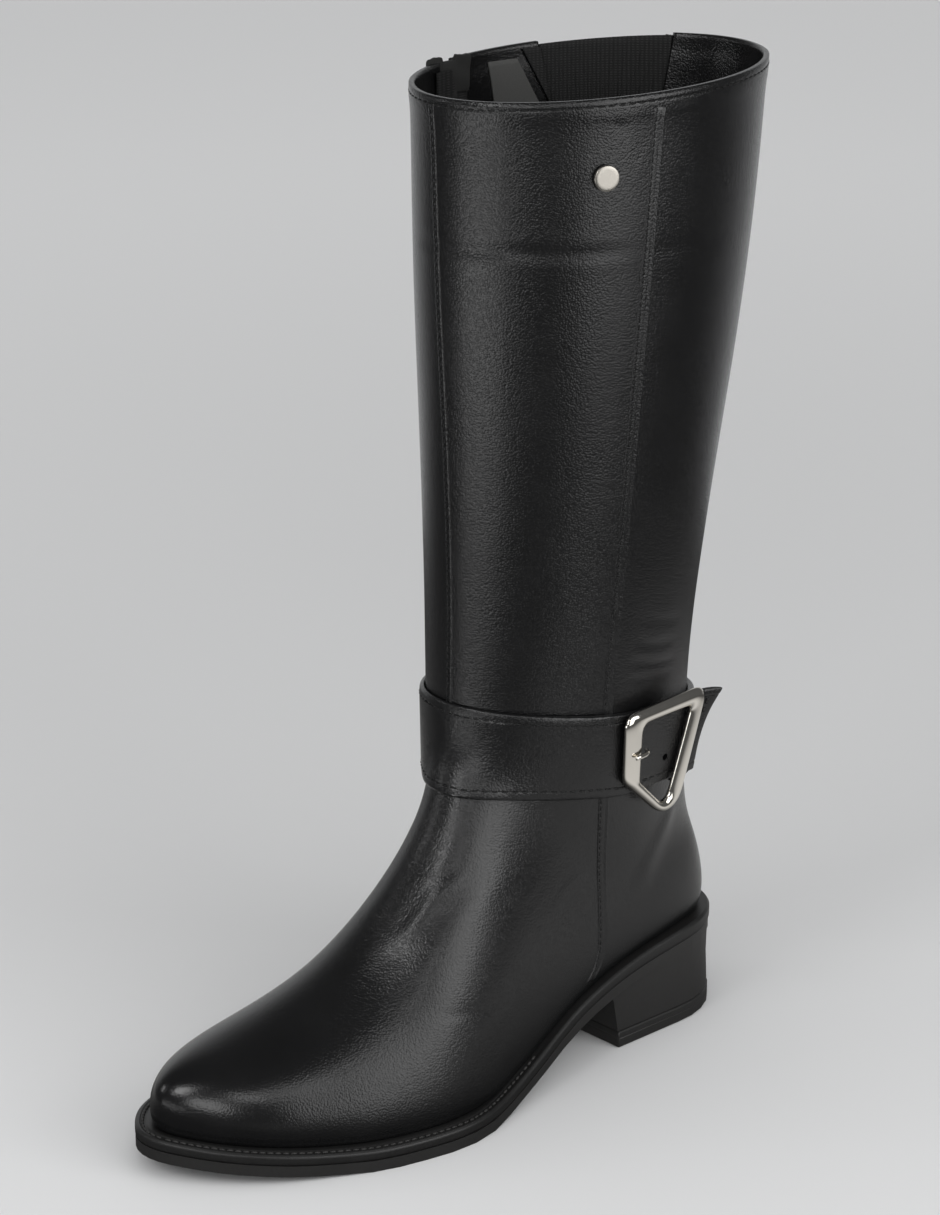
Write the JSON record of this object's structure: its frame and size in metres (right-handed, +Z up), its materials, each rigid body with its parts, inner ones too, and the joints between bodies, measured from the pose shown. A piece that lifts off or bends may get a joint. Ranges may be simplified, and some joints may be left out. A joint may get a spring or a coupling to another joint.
{
  "type": "tall boot",
  "caption": "Tall leather riding boot with a low stacked heel, inner side zip, elastic gore at the collar and a buckled ankle strap.",
  "frame": {"origin": "on the floor under the middle of the heel, on the underside of the top lift", "axes": "+Z up the leg, -Y from heel to toe, +X to the outer side of the left foot"},
  "size_m": [0.1145, 0.2848, 0.3835],
  "materials": {
    "black_leather": "satin, fine grain",
    "black_rubber": "satin moulded",
    "insole_board": "matt",
    "bright_nickel": "polished",
    "black_webbing": "woven",
    "black_nylon": "satin"
  },
  "bodies": {
    "boot": {"upper": "black_leather", "welt": "black_leather", "outsole": "black_rubber", "top_lift": "black_rubber", "insole": "insole_board", "shaft_side_seam": "black_leather", "vamp_side_seam": "black_leather", "shaft_front_seam": "black_leather", "ankle_strap": "black_leather", "back_strap": "black_leather", "buckle_frame": "bright_nickel", "buckle_prong": "bright_nickel", "collar_stud": "bright_nickel", "elastic_gore": "black_webbing", "zip_tape": "black_webbing", "zip_chain": "black_nylon", "zip_slider": "bright_nickel"},
    "pull_tab": {"zip_pull": "bright_nickel"}
  },
  "joints": [
    {"name": "pull_swing", "type": "hinge", "parent": "boot", "child": "pull_tab", "pos_m": [-0.0563, -0.05442, 0.35994], "axis": [-0.2727, 0.9621, 0], "range_deg": [0, 165]}
  ]
}
